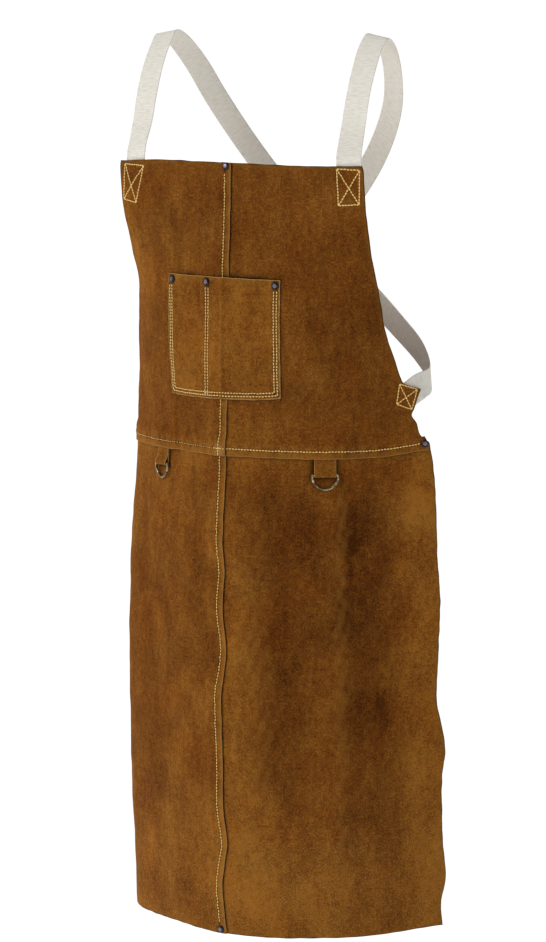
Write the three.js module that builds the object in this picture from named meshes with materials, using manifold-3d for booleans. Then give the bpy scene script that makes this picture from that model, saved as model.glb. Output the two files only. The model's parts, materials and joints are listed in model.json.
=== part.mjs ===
import * as THREE from 'three';
import { mergeVertices } from 'three/addons/utils/BufferGeometryUtils.js';
import ManifoldModule from 'manifold-3d';

// Leather welding apron, shown as it hangs when worn. Millimetres, +Z up, the front faces -Y.
// The origin lies between the two straps where they cross the shoulders.
// Left and right are the wearer's: left is +X.

const wasm = await ManifoldModule();
wasm.setup();

// Driving dimensions
const LEATHER = 1.8;
const CLEARANCE = 0.35;
const LAYER = LEATHER + CLEARANCE;
const SHOULDER_TO_BIB = 176;
const WAIST = 395;
const LENGTH = 1067;
const HALF_WAIST = 305;
const LAP = 9.5;
const UNDERLAP = 8;
const RAMP = 12;
const RIDGE = 20;

const POCKET = { right: -99, left: 87, top: 158, foot: 328, divider: -24, slack: 2.6 };
const WEBBING = { width: 36, thick: 2 };
const RING = {
  right: -128.5, left: 148.5, wire: 1.8, halfBar: 17.8, leg: 2.6, bow: 17.8, turns: 8, steps: 30,
};
const TAB = { width: 30.4, thick: 1.5, top: 388, foot: 430, bore: 2.15 };
const RIVET = { cap: 5, capHigh: 1.8, faceGap: 0.4, shank: 1.8, hole: 2.15, sides: 10 };
const WASHER = { radius: 4.5, high: 1, gap: 0.7 };

// Cross-sections of the worn leather, by depth below the bib's top: the front's y,
// and how far the leather has turned sideways at the seam and at HALF_WAIST from it, in degrees
const SECTIONS = [
  { h: 0, front: -116.2, atSeam: 8.3, atSide: 19.8 },
  { h: 51, front: -117.8, atSeam: 7.1, atSide: 27.6 },
  { h: 120, front: -121.1, atSeam: 2.5, atSide: 52.7 },
  { h: 190, front: -123.1, atSeam: -4.2, atSide: 74.6 },
  { h: 395, front: -130.3, atSeam: 16.3, atSide: 51.6 },
  { h: 730, front: -135.2, atSeam: 8.7, atSide: 56.4 },
  { h: 1067, front: -132.5, atSeam: 9.5, atSide: 58.9 },
];

// On the right the leather turns further round the hip, in degrees, between these arc lengths
const WRAP = { turn: 20, from: 215, full: 305 };

// Half the flat width of the bib: armhole, ear and waist corner
const BIB_EDGE = [
  { h: 0, w: 200.5 },
  { h: 8, w: 202.5 },
  { h: 51, w: 204.2 },
  { h: 120, w: 211 },
  { h: 190, w: 227.5 },
  { h: 230, w: 234 },
  { h: 270, w: 247 },
  { h: 297, w: 254.5 },
  { h: 305, w: 258.5 },
  { h: 312, w: 269 },
  { h: 318, w: 284 },
  { h: 324, w: 281 },
  { h: 345, w: 273 },
  { h: 352, w: 269.5 },
  { h: 366, w: 277 },
  { h: 380, w: 279.5 },
  { h: 388, w: 285.5 },
  { h: 396, w: 294 },
  { h: 405, w: 296 },
];

// Half the flat width of the skirt
const SKIRT_EDGE = [
  { h: 386, w: 288 },
  { h: 398, w: 293.5 },
  { h: 420, w: 299.5 },
  { h: 560, w: 309.5 },
  { h: 626, w: 314.5 },
  { h: 745, w: 312 },
  { h: 825, w: 324.5 },
  { h: 862, w: 320.5 },
  { h: 943, w: 322.5 },
  { h: 1000, w: 328 },
  { h: 1037, w: 321 },
  { h: 1067, w: 324 },
];

// The pocket's sagging lower edge
const POCKET_FOOT = [
  { s: -99, h: 326 },
  { s: -85, h: 327 },
  { s: -65, h: 327.6 },
  { s: -40, h: 327.6 },
  { s: 0, h: 326.6 },
  { s: 45, h: 325.6 },
  { s: 87, h: 322 },
];

// How far the leather rides up or down at the top, at the waist and at the hem
const RISE = [
  { s: -330, top: -6, waist: 1.8, hem: -2.4 },
  { s: -220, top: -2.3, waist: 3.2, hem: 0.9 },
  { s: -100, top: 3.5, waist: 5.3, hem: 1.6 },
  { s: 0, top: 3.3, waist: 4.2, hem: -3.6 },
  { s: 120, top: 0.9, waist: 1.3, hem: -6.2 },
  { s: 200, top: 1.7, waist: 1.7, hem: -5.1 },
  { s: 320, top: -3.5, waist: 16, hem: 3.5 },
];

// Soft upright folds of the skirt: place at the waist and at the hem, half breadth, height, and
// where each starts and is full
const FOLDS = [
  { s: 46, foot: 78, breadth: 43, height: 10.5, from: 360, full: 600 },
  { s: 172, foot: 175, breadth: 19, height: 2.5, from: 340, full: 500 },
  { s: 222, foot: 292, breadth: 52, height: -13, from: 350, full: 560 },
  { s: 335, foot: 335, breadth: 50, height: 8.5, from: 340, full: 520 },
  { s: -125, foot: -115, breadth: 36, height: -2.2, from: 420, full: 700 },
  { s: -245, foot: -212, breadth: 48, height: 4.5, from: 400, full: 540 },
];
// They fade towards the hem to this share of their height
const FADE = { from: 860, full: 1060, share: 0.5 };

// The skirt's centre seam is puckered: how far it stands out and wanders sideways
const PUCKER = [
  { h: 430, out: 0, aside: 1.7 },
  { h: 521, out: 1, aside: -1 },
  { h: 563, out: -2, aside: 1.3 },
  { h: 613, out: 1, aside: 0.4 },
  { h: 673, out: -3, aside: 4.1 },
  { h: 739, out: 5.5, aside: 0.2 },
  { h: 844, out: -2, aside: -0.9 },
  { h: 893, out: 3, aside: 1.7 },
  { h: 943, out: -4, aside: 4.7 },
  { h: 968, out: -3, aside: 0.8 },
  { h: 1003, out: -1, aside: -2.9 },
  { h: 1037, out: -0.5, aside: 0.1 },
  { h: 1067, out: 0, aside: 3.9 },
];
const PUCKER_BREADTH = 30;

// Rows of the leather grids, by depth below the bib's top
const BIB_ROWS = [0, 26, 56, 88, 120, 155, 190, 225, 258, 280, 297, 305, 312, 318, 324, 334, 345, 352,
  362, 372, 385, 390, 396, 405];
const SKIRT_ROWS = [386, 398, 420, 442, 468, 495, 521, 542, 563, 588, 626, 673, 706, 745, 774, 800, 825,
  844, 862, 893, 920, 943, 968, 1003, 1037, 1067];
// Columns out from the seam, as shares of the way from SEAM_BAND to the side edge
const SEAM_BAND = 24;
const SPREAD = [0.09, 0.19, 0.29, 0.39, 0.465, 0.53, 0.62, 0.72, 0.8, 0.87, 0.935, 1];

// The left strap from its sewn end behind the bib, over the left shoulder and across the back.
// Rows with s and h lie behind the leather, deep from it, and the right strap lies nearer the seam
// there; the others give the middle line and the outward direction.
const STRAP_ROWS = [
  { s: 181.5, nearer: 8, h: 60, deep: 0 },
  { s: 181.5, nearer: 8, h: 27, deep: 0 },
  { s: 181.5, nearer: 8, h: 0, deep: 0 },
  { s: 181, nearer: 8, h: -12, deep: 0 },
  { x: 172, y: -61, z: -124, nx: 0.15, ny: -0.93, nz: 0.3 },
  { x: 172, y: -47.5, z: -79, nx: 0.09, ny: -0.92, nz: 0.36 },
  { x: 172, y: -31, z: -42, nx: 0.11, ny: -0.84, nz: 0.5 },
  { x: 171.5, y: -13, z: -14, nx: 0.12, ny: -0.56, nz: 0.76 },
  { x: 172.5, y: 3, z: 0, nx: 0.16, ny: -0.04, nz: 0.9 },
  { x: 171, y: 24, z: -7, nx: 0.22, ny: 0.4, nz: 0.82 },
  { x: 162, y: 60, z: -42, nx: 0.28, ny: 0.76, nz: 0.54 },
  { x: 144, y: 93, z: -98, nx: 0.26, ny: 0.92, nz: 0.3 },
  { x: 108, y: 116, z: -162, nx: 0.16, ny: 0.97, nz: 0.18 },
  { x: 57, y: 129, z: -228, nx: 0.08, ny: 0.99, nz: 0.08 },
  { x: 0, y: 134, z: -290, nx: 0, ny: 1, nz: 0 },
  { x: -68, y: 131, z: -353, nx: -0.16, ny: 0.98, nz: 0 },
  { x: -134, y: 118, z: -405, nx: -0.36, ny: 0.93, nz: 0 },
  { x: -188, y: 96, z: -444, nx: -0.6, ny: 0.8, nz: 0 },
  { x: -222, y: 66, z: -474, nx: -0.94, ny: 0.32, nz: 0 },
  { s: -284.5, nearer: 0, h: 315, deep: 1.5 },
  { s: -272.5, nearer: 0, h: 321, deep: 1.5 },
  { s: -258.5, nearer: 0, h: 328, deep: 1.5 },
];
const STRAP_STEPS = 66;
// The right strap is otherwise the mirror image, and passes outside the left one where they cross
const CROSSING_LIFT = 3.6;
const CROSSING_REACH = 70;

const clamp = THREE.MathUtils.clamp;
const rad = THREE.MathUtils.degToRad;

function ramp(x, from, to) {
  const t = clamp((x - from) / (to - from), 0, 1);
  return t * t * (3 - 2 * t);
}

function bump(x, breadth) {
  return Math.exp(-(x * x) / (breadth * breadth));
}

// A smooth curve through the rows that never overshoots them
function curveOf(rows, at, key) {
  const last = rows.length - 1;
  const gap = [];
  const grade = [];
  for (let i = 0; i < last; i += 1) {
    gap.push(rows[i + 1][at] - rows[i][at]);
    grade.push((rows[i + 1][key] - rows[i][key]) / gap[i]);
  }
  const slope = rows.map((row, i) => {
    if (i === 0 || i === last) {
      return grade[Math.min(i, last - 1)];
    }
    if (grade[i - 1] * grade[i] <= 0) {
      return 0;
    }
    const a = 2 * gap[i] + gap[i - 1];
    const b = gap[i] + 2 * gap[i - 1];
    return (a + b) / (a / grade[i - 1] + b / grade[i]);
  });
  return (x) => {
    let i = 0;
    while (i < last - 1 && x > rows[i + 1][at]) {
      i += 1;
    }
    const t = clamp((x - rows[i][at]) / gap[i], 0, 1);
    const u = 1 - t;
    const ends = rows[i][key] * u * u * (1 + 2 * t) + rows[i + 1][key] * t * t * (1 + 2 * u);
    return ends + gap[i] * t * u * (slope[i] * u - slope[i + 1] * t);
  };
}

const front = curveOf(SECTIONS, 'h', 'front');
const atSeam = curveOf(SECTIONS, 'h', 'atSeam');
const atSide = curveOf(SECTIONS, 'h', 'atSide');
const bibEdge = curveOf(BIB_EDGE, 'h', 'w');
const skirtEdge = curveOf(SKIRT_EDGE, 'h', 'w');
const riseTop = curveOf(RISE, 's', 'top');
const riseWaist = curveOf(RISE, 's', 'waist');
const riseHem = curveOf(RISE, 's', 'hem');
const puckerOut = curveOf(PUCKER, 'h', 'out');
const puckerAside = curveOf(PUCKER, 'h', 'aside');
const pocketFoot = curveOf(POCKET_FOOT, 's', 'h');

// How far the leather has turned at arc length q from the seam
function turn(q, h, side) {
  const seam = atSeam(h);
  const roundHip = side < 0 ? WRAP.turn * ramp(q, WRAP.from, WRAP.full) : 0;
  return rad((seam * q) / Math.hypot(q, RIDGE) + ((atSide(h) - seam) * q) / HALF_WAIST + roundHip);
}

function foldsOut(s, h) {
  const below = clamp((h - WAIST) / (LENGTH - WAIST), 0, 1);
  const fade = 1 - (1 - FADE.share) * ramp(h, FADE.from, FADE.full);
  let out = 0;
  for (const fold of FOLDS) {
    const middle = fold.s + (fold.foot - fold.s) * below;
    out += fold.height * bump(s - middle, fold.breadth) * ramp(h, fold.from, fold.full);
  }
  return out * fade + puckerOut(h) * bump(s, PUCKER_BREADTH);
}

function rise(s, h) {
  if (h < WAIST) {
    return THREE.MathUtils.lerp(riseTop(s), riseWaist(s), h / WAIST);
  }
  return THREE.MathUtils.lerp(riseWaist(s), riseHem(s), (h - WAIST) / (LENGTH - WAIST));
}

// The point at arc length s from the centre seam and depth h below the bib's top, off outwards
// from the inner face of the leather
function form(s, h, off) {
  const along = s + puckerAside(h) * bump(s, PUCKER_BREADTH);
  const q = Math.abs(along);
  const side = along < 0 ? -1 : 1;
  const steps = 24;
  let x = 0;
  let y = front(h);
  for (let k = 0; k < steps; k += 1) {
    const angle = turn((q * (k + 0.5)) / steps, h, side);
    x += (Math.cos(angle) * q) / steps;
    y += (Math.sin(angle) * q) / steps;
  }
  const angle = turn(q, h, side);
  const out = off + foldsOut(s, h);
  const z = -SHOULDER_TO_BIB - h + rise(s, h);
  return new THREE.Vector3(side * (x + out * Math.sin(angle)), y - out * Math.cos(angle), z);
}

// The outward, sideways and upward directions of the leather there
function frameAt(s, h) {
  const across = form(s + 2, h, 0).sub(form(s - 2, h, 0)).normalize();
  const up = form(s, h - 2, 0).sub(form(s, h + 2, 0)).normalize();
  const out = new THREE.Vector3().crossVectors(across, up).normalize();
  up.crossVectors(out, across).normalize();
  return { across, up, out };
}

// How far each panel is lifted by the layers beneath it
const overSeam = (s) => ramp(s, -UNDERLAP - 1 - RAMP, -UNDERLAP - 1);
const besideSeam = (s) => 1 - ramp(s, LAP + 1, LAP + 1 + RAMP);
const overWaist = (h) => ramp(h, WAIST - LAP - 1 - RAMP, WAIST - LAP - 1);
const overTab = (s) => 1 - ramp(Math.abs(s - (s < 0 ? RING.right : RING.left)), 24, 48);
const tabStack = 2 * TAB.thick + 1.4;

function bibLift(s, h, right) {
  const waist = overWaist(h);
  const tab = tabStack * overTab(s) * waist;
  if (right) {
    const seam = overSeam(s);
    return LAYER * (seam + waist + seam * waist) + tab;
  }
  return LAYER * waist * (1 + besideSeam(s)) + tab;
}

function skirtLift(s, h, right) {
  return right ? LAYER * overSeam(s) : 0;
}

function pocketLift(s, h) {
  const seam = ramp(s, -24, -10.5) * (1 - ramp(s, 11, 25));
  const fromSide = ramp(Math.min(s - POCKET.right, POCKET.left - s), 12, 40);
  const fromDivider = ramp(Math.abs(s - POCKET.divider), 7, 30);
  const fromFoot = ramp(pocketFoot(s) - h, 10, 110);
  return LAYER * (1 + seam) + POCKET.slack * fromSide * fromDivider * fromFoot;
}

// A closed body from a grid of points on its inner and outer faces
function slab(rows, columns, place) {
  const points = [];
  const index = [];
  const at = (i, j, outer) => (i * columns + j) * 2 + outer;
  for (let i = 0; i < rows; i += 1) {
    for (let j = 0; j < columns; j += 1) {
      points.push(place(i, j, 0), place(i, j, 1));
    }
  }
  const quad = (a, b, c, d) => index.push(a, b, c, a, c, d);
  for (let i = 0; i < rows - 1; i += 1) {
    for (let j = 0; j < columns - 1; j += 1) {
      quad(at(i, j, 1), at(i + 1, j, 1), at(i + 1, j + 1, 1), at(i, j + 1, 1));
      quad(at(i, j, 0), at(i, j + 1, 0), at(i + 1, j + 1, 0), at(i + 1, j, 0));
    }
  }
  for (let i = 0; i < rows - 1; i += 1) {
    const end = columns - 1;
    quad(at(i, 0, 0), at(i + 1, 0, 0), at(i + 1, 0, 1), at(i, 0, 1));
    quad(at(i, end, 1), at(i + 1, end, 1), at(i + 1, end, 0), at(i, end, 0));
  }
  for (let j = 0; j < columns - 1; j += 1) {
    const end = rows - 1;
    quad(at(0, j, 1), at(0, j + 1, 1), at(0, j + 1, 0), at(0, j, 0));
    quad(at(end, j, 0), at(end, j + 1, 0), at(end, j + 1, 1), at(end, j, 1));
  }
  return facingOut(points, index);
}

function facingOut(points, index) {
  let volume = 0;
  const normal = new THREE.Vector3();
  for (let i = 0; i < index.length; i += 3) {
    normal.crossVectors(points[index[i + 1]], points[index[i + 2]]);
    volume += points[index[i]].dot(normal);
  }
  const order = volume < 0 ? index.slice().reverse() : index;
  const geometry = new THREE.BufferGeometry().setFromPoints(points);
  geometry.setIndex(order);
  return geometry;
}

function toSolid(geometry) {
  const bare = new THREE.BufferGeometry();
  bare.setAttribute('position', geometry.getAttribute('position'));
  bare.setIndex(geometry.getIndex());
  const merged = mergeVertices(bare, 1e-4);
  return new wasm.Manifold(new wasm.Mesh({
    numProp: 3,
    vertProperties: new Float32Array(merged.getAttribute('position').array),
    triVerts: new Uint32Array(merged.getIndex().array),
  }));
}

function toGeometry(solid) {
  const mesh = solid.getMesh();
  const geometry = new THREE.BufferGeometry();
  geometry.setAttribute('position', new THREE.BufferAttribute(new Float32Array(mesh.vertProperties), 3));
  geometry.setIndex(new THREE.BufferAttribute(new Uint32Array(mesh.triVerts), 1));
  return geometry;
}

// Half of the bib or the skirt. The right half laps over the left one at the centre seam.
function panel(depths, edge, lift, right) {
  const side = right ? -1 : 1;
  const nearSeam = right ? [LAP, 0, -9, -15, -SEAM_BAND] : [-UNDERLAP, 0, 10.5, 16.5, SEAM_BAND];
  const columns = nearSeam.length + SPREAD.length;
  return slab(depths.length, columns, (i, j, outer) => {
    const h = depths[i];
    const share = SPREAD[j - nearSeam.length];
    const s = j < nearSeam.length ? nearSeam[j] : side * (SEAM_BAND + (edge(h) - SEAM_BAND) * share);
    return form(s, h, lift(s, h, right) + outer * LEATHER);
  });
}

const POCKET_COLUMNS = [
  POCKET.right, -86, -66, -46, -33, -24, -17, -10, 0, 10.5, 18, 25, 45, 68, POCKET.left,
];
const POCKET_ROWS = [POCKET.top, 173, 198, 230, 262, 295, 315, POCKET.foot];

function pocketBody() {
  return slab(POCKET_ROWS.length, POCKET_COLUMNS.length, (i, j, outer) => {
    const s = POCKET_COLUMNS[j];
    const share = (pocketFoot(s) - POCKET.top) / (POCKET.foot - POCKET.top);
    const h = POCKET.top + (POCKET_ROWS[i] - POCKET.top) * share;
    return form(s, h, pocketLift(s, h) + outer * LEATHER);
  });
}

// Webbing strap: a flat band along its middle line
function strapBody(right) {
  const inset = -CLEARANCE - WEBBING.thick / 2 - 0.6;
  const middles = [];
  const outs = [];
  for (const row of STRAP_ROWS) {
    const mirror = right ? -1 : 1;
    if (row.s !== undefined) {
      const s = right ? row.nearer - row.s : row.s;
      middles.push(form(s, row.h, inset - row.deep));
      outs.push(frameAt(s, row.h).out);
    } else {
      const lift = right ? CROSSING_LIFT * ramp(CROSSING_REACH - Math.abs(row.x), 0, CROSSING_REACH) : 0;
      middles.push(new THREE.Vector3(mirror * row.x, row.y + lift, row.z));
      outs.push(new THREE.Vector3(mirror * row.nx, row.ny, row.nz).normalize());
    }
  }
  const path = new THREE.CatmullRomCurve3(middles, false, 'centripetal');
  const facing = new THREE.CatmullRomCurve3(outs, false, 'catmullrom', 0.5);
  const stations = [];
  for (let k = 0; k <= STRAP_STEPS; k += 1) {
    const t = k / STRAP_STEPS;
    const along = path.getTangent(t);
    const out = facing.getPoint(t);
    out.addScaledVector(along, -out.dot(along)).normalize();
    const across = new THREE.Vector3().crossVectors(along, out);
    stations.push({ middle: path.getPoint(t), out, across });
  }
  return slab(stations.length, 2, (i, j, outer) => {
    const station = stations[i];
    const point = station.middle.clone();
    point.addScaledVector(station.across, (j - 0.5) * WEBBING.width);
    return point.addScaledVector(station.out, (outer - 0.5) * WEBBING.thick);
  });
}

// The folded tab: two layers that part round the ring's bar. Its section is drawn
// with x outwards from the skirt and y up from the middle of the loop.
const LOOP = TAB.bore + TAB.thick;
const loopOut = LAYER + LOOP + 0.3;
const loopDepth = TAB.foot - LOOP;

function tabBody(s) {
  const high = loopDepth - TAB.top;
  const back = -LOOP;
  const face = back + 2 * TAB.thick;
  const outline = new THREE.Shape();
  outline.moveTo(back, high);
  outline.lineTo(back, 0);
  outline.absarc(0, 0, LOOP, Math.PI, 2 * Math.PI, false);
  outline.bezierCurveTo(LOOP, 5, face, 6, face, 12);
  outline.lineTo(face, high);
  outline.closePath();
  const bore = new THREE.Path();
  bore.absarc(0, 0, TAB.bore, 0, 2 * Math.PI, true);
  outline.holes.push(bore);
  const settings = { depth: TAB.width, bevelEnabled: false, curveSegments: 6 };
  const geometry = new THREE.ExtrudeGeometry(outline, settings);
  geometry.translate(0, 0, -TAB.width / 2);
  geometry.applyMatrix4(loopPlace(s, form(s, TAB.top, 0).sub(form(s, loopDepth, 0))));
  return toGeometry(toSolid(geometry));
}

// Local x outwards, y up, z along the bar
function loopPlace(s, upward) {
  const along = frameAt(s, WAIST).across.setZ(0).normalize();
  const out = new THREE.Vector3().crossVectors(along, upward).normalize();
  const up = new THREE.Vector3().crossVectors(out, along);
  const middle = form(s, loopDepth, loopOut);
  return new THREE.Matrix4().makeBasis(out, up, along.negate()).setPosition(middle);
}

// D-ring: a straight bar, two short legs and a bow, in one closed wire
function ringBody(s) {
  const a = RING.halfBar;
  const corner = 1.6;
  const points = [];
  for (const z of [-0.72, -0.36, 0, 0.36, 0.72]) {
    points.push(new THREE.Vector3(0, 0, z * a));
  }
  points.push(new THREE.Vector3(0, -0.3, a - corner), new THREE.Vector3(0, -corner, a - 0.3));
  for (let k = 0; k <= 12; k += 1) {
    const angle = (Math.PI * k) / 12;
    points.push(new THREE.Vector3(0, -RING.leg - RING.bow * Math.sin(angle), a * Math.cos(angle)));
  }
  points.push(new THREE.Vector3(0, -corner, -a + 0.3), new THREE.Vector3(0, -0.3, -a + corner));
  const path = new THREE.CatmullRomCurve3(points, true, 'centripetal');
  const geometry = new THREE.TubeGeometry(path, RING.steps, RING.wire, RING.turns, true);
  geometry.applyMatrix4(loopPlace(s, new THREE.Vector3(0, 0, 1)));
  return toGeometry(toSolid(geometry));
}

// Rivets: place, how far out the face of the top layer lies, and what they join
const outerBib = (s, h) => bibLift(s, h, s < LAP) + LEATHER;
const outerSkirt = (s, h) => skirtLift(s, h, s < LAP) + LEATHER;
const outerPocket = (s, h) => pocketLift(s, h) + LEATHER;
const RIVETS = [
  { name: 'rivet_bib_top', s: 2, h: 6, face: outerBib, through: ['bib_right', 'bib_left'] },
  { name: 'rivet_pocket_right', s: -89.5, h: 166, face: outerPocket, through: ['pocket', 'bib_right'] },
  { name: 'rivet_pocket_divider', s: -24, h: 166, face: outerPocket, through: ['pocket', 'bib_right'] },
  { name: 'rivet_pocket_left', s: 80.5, h: 166, face: outerPocket, through: ['pocket', 'bib_left'] },
  { name: 'rivet_waist_right', s: -288, h: 396, face: outerBib, through: ['bib_right', 'skirt_right'] },
  { name: 'rivet_waist_left', s: 288, h: 396, face: outerBib, through: ['bib_left', 'skirt_left'] },
  { name: 'rivet_hem', s: 1, h: 1061, face: outerSkirt, through: ['skirt_right', 'skirt_left'] },
];

function rivetPlace(rivet) {
  const frame = frameAt(rivet.s, rivet.h);
  const base = form(rivet.s, rivet.h, 0);
  const basis = new THREE.Matrix4().makeBasis(frame.across, frame.out, frame.up.clone().negate());
  return basis.setPosition(base);
}

function rivetBody(rivet) {
  const back = -WASHER.gap;
  const beneathCap = [-RIVET.cap, 0, RIVET.cap].map((aside) => rivet.face(rivet.s + aside, rivet.h));
  const face = Math.max(...beneathCap) + RIVET.faceGap;
  const profile = [
    new THREE.Vector2(0, back - WASHER.high),
    new THREE.Vector2(WASHER.radius, back - WASHER.high),
    new THREE.Vector2(WASHER.radius, back),
    new THREE.Vector2(RIVET.shank, back),
    new THREE.Vector2(RIVET.shank, face),
    new THREE.Vector2(RIVET.cap, face),
    new THREE.Vector2(RIVET.cap, face + 0.4 * RIVET.capHigh),
    new THREE.Vector2(0.74 * RIVET.cap, face + RIVET.capHigh),
    new THREE.Vector2(0, face + RIVET.capHigh),
  ];
  const geometry = new THREE.LatheGeometry(profile, RIVET.sides);
  geometry.applyMatrix4(rivetPlace(rivet));
  return toGeometry(toSolid(geometry));
}

function pierced(name, geometry) {
  let solid = toSolid(geometry);
  for (const rivet of RIVETS.filter((row) => row.through.includes(name))) {
    const drill = new THREE.CylinderGeometry(RIVET.hole, RIVET.hole, 40, 10);
    drill.applyMatrix4(rivetPlace(rivet));
    solid = solid.subtract(toSolid(drill));
  }
  return toGeometry(solid);
}

const suede = { color: 0x764818, roughness: 0.95, metalness: 0 };
const cotton = { color: 0xe8e3d6, roughness: 0.9, metalness: 0 };
const darkMetal = { color: 0x2b2630, roughness: 0.45, metalness: 1 };
const agedBrass = { color: 0x8a7448, roughness: 0.4, metalness: 1 };

const group = new THREE.Group();
group.name = 'leather_welding_apron';

function add(name, geometry, look) {
  const bare = geometry.index ? geometry.toNonIndexed() : geometry;
  bare.computeVertexNormals();
  const mesh = new THREE.Mesh(bare, new THREE.MeshStandardMaterial(look));
  mesh.name = name;
  group.add(mesh);
}

add('bib_right', pierced('bib_right', panel(BIB_ROWS, bibEdge, bibLift, true)), suede);
add('bib_left', pierced('bib_left', panel(BIB_ROWS, bibEdge, bibLift, false)), suede);
add('skirt_right', pierced('skirt_right', panel(SKIRT_ROWS, skirtEdge, skirtLift, true)), suede);
add('skirt_left', pierced('skirt_left', panel(SKIRT_ROWS, skirtEdge, skirtLift, false)), suede);
add('pocket', pierced('pocket', pocketBody()), suede);
add('strap_right', strapBody(true), cotton);
add('strap_left', strapBody(false), cotton);
add('ring_tab_right', tabBody(RING.right), suede);
add('ring_tab_left', tabBody(RING.left), suede);
add('d_ring_right', ringBody(RING.right), agedBrass);
add('d_ring_left', ringBody(RING.left), agedBrass);
for (const rivet of RIVETS) {
  add(rivet.name, rivetBody(rivet), darkMetal);
}

export default group;
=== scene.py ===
import json
import math

import bpy
import numpy as np
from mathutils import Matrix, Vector


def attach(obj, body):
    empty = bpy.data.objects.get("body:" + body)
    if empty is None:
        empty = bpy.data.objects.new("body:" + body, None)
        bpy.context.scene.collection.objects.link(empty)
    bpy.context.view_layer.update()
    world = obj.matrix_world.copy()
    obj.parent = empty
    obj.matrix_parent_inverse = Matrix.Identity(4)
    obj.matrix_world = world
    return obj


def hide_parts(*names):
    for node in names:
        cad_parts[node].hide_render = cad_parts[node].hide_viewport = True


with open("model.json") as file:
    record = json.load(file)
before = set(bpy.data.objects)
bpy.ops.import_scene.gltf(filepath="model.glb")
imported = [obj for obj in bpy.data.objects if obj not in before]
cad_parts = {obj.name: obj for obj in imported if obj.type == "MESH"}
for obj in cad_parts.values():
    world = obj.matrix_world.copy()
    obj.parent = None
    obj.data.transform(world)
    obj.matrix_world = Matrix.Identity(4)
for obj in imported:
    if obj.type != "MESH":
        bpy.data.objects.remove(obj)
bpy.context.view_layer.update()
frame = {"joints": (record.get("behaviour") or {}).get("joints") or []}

# Leather welding apron as it hangs when worn. Sizes are in millimetres, and MM turns them into
# the metres of the shared frame: +Z up, the front faces -Y. Left is the wearer's left, +X.
# A place on the leather is s, the arc length from the centre seam, and h, the depth below the
# bib's top.
MM = 0.001

# Driving dimensions
LEATHER = 1.8
CLEARANCE = 0.35
LAYER = LEATHER + CLEARANCE
SHOULDER_TO_BIB = 176
WAIST = 395
LENGTH = 1067
HALF_WAIST = 305
LAP = 9.5
UNDERLAP = 8
RIDGE = 20
SKIRT_TOP = 386
BIB_FOOT = 405

POCKET = dict(right=-99, left=87, top=158, foot=328, divider=-24, slack=2.6)
WEBBING = dict(width=36, thick=2)
RING = dict(right=-128.5, left=148.5, wire=1.8, half_bar=17.8, leg=2.6, bow=17.8)
TAB = dict(width=30.4, thick=1.5, top=388, foot=430, bore=2.15)
LOOP = TAB["bore"] + TAB["thick"]
LOOP_DEPTH = TAB["foot"] - LOOP
RIVET = dict(cap=5.2, cap_high=3.4, cap_gap=0.1, shank=1.8, washer=4.5, washer_high=1)
# The cap's domed side and the groove round its middle, as shares of its radius and height
DOME = dict(
    out=(0.94, 1, 1, 0.95, 0.86, 0.74, 0.62, 0.55, 0.48),
    up=(0, 0.1, 0.28, 0.52, 0.74, 0.9, 0.97, 0.96, 1),
)

# A layer rises within RAMP, and is fully lifted at least SPARE before the edge that it covers.
# The bib swells over a tab, and the pocket's slack and its lift over the lap ease in.
RAMP = 12
SPARE = 1
TAB_SWELL = dict(full=24, gone=48, spare=1.4)
POCKET_EASE = dict(side=(12, 40), divider=(7, 30), foot=(10, 110), lap_in=(-24, -10.5), lap_out=(11, 25))

# Cross-sections of the worn leather: the front's y, and how far the leather has turned sideways
# at the seam and at HALF_WAIST from it, in degrees
SECTIONS = dict(
    h=(0, 51, 120, 190, 395, 730, 1067),
    front=(-116.2, -117.8, -121.1, -123.1, -130.3, -135.2, -132.5),
    at_seam=(8.3, 7.1, 2.5, -4.2, 16.3, 8.7, 9.5),
    at_side=(19.8, 27.6, 52.7, 74.6, 51.6, 56.4, 58.9),
)

# On the right the leather turns further round the hip, in degrees, between these arc lengths
WRAP = dict(turn=20, start=215, full=305)

# Half the flat width of the bib: armhole, ear and waist corner
BIB_EDGE = dict(
    h=(0, 8, 51, 120, 190, 230, 270, 297, 305, 312, 318, 324, 345, 352, 366, 380, 388, 396, 405),
    w=(200.5, 202.5, 204.2, 211, 227.5, 234, 247, 254.5, 258.5)
    + (269, 284, 281, 273, 269.5, 277, 279.5, 285.5, 294, 296),
)

# Half the flat width of the skirt
SKIRT_EDGE = dict(
    h=(386, 398, 420, 560, 626, 745, 825, 862, 943, 1000, 1037, 1067),
    w=(288, 293.5, 299.5, 309.5, 314.5, 312, 324.5, 320.5, 322.5, 328, 321, 324),
)

# The pocket's sagging lower edge
POCKET_FOOT = dict(
    s=(-99, -85, -65, -40, 0, 45, 87),
    h=(326, 327, 327.6, 327.6, 326.6, 325.6, 322),
)

# How far the leather rides up or down at the top, at the waist and at the hem
RISE = dict(
    s=(-330, -220, -100, 0, 120, 200, 320),
    top=(-6, -2.3, 3.5, 3.3, 0.9, 1.7, -3.5),
    waist=(1.8, 3.2, 5.3, 4.2, 1.3, 1.7, 16),
    hem=(-2.4, 0.9, 1.6, -3.6, -6.2, -5.1, 3.5),
)

# Soft upright folds of the skirt: place at the waist and at the hem, half breadth, height, and
# where each starts and is full
FOLDS = dict(
    s=(46, 172, 222, 335, -125, -245),
    foot=(78, 175, 292, 335, -115, -212),
    breadth=(43, 19, 52, 50, 36, 48),
    height=(10.5, 2.5, -13, 8.5, -2.2, 4.5),
    start=(360, 340, 350, 340, 420, 400),
    full=(600, 500, 560, 520, 700, 540),
)
# They fade towards the hem to this share of their height
FADE = dict(start=860, full=1060, share=0.5)

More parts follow.
